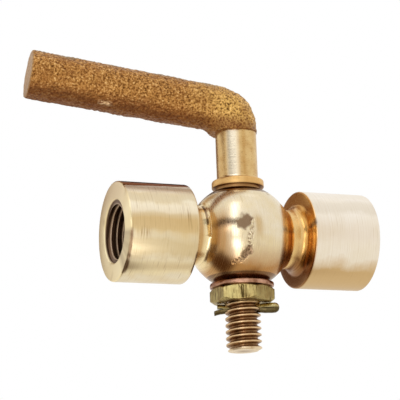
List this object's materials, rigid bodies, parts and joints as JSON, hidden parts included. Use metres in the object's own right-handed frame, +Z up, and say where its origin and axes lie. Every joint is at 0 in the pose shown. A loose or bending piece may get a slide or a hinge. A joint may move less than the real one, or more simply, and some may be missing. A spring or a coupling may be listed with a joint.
{
  "type": "pressure gauge valve",
  "caption": "Small brass plug cock with a ball-shaped body, internally threaded ports at both ends and a bent cast lever that turns its tapered plug.",
  "frame": {"origin": "centre of the inlet port's mouth, on the pipe axis", "axes": "+X along the pipe from the inlet to the outlet, +Z up the plug's stem towards the lever"},
  "size_m": [0.0754, 0.023, 0.0649],
  "materials": {
    "turned_brass": "turned, satin to polished",
    "cast_brass": "rough sand casting on the lever, turned on the stem",
    "copper": "dull copper",
    "nut_brass": "roughly machined",
    "pin_brass": "drawn wire"
  },
  "bodies": {
    "body": {"valve_body": "turned_brass"},
    "plug": {"plug_lever": "cast_brass", "washer": "copper", "nut": "nut_brass", "split_pin": "pin_brass"}
  },
  "joints": [
    {"name": "plug_turn", "type": "hinge", "parent": "body", "child": "plug", "pos_m": [0.02875, 0, 0], "axis": [0, 0, 1], "continuous": true}
  ]
}
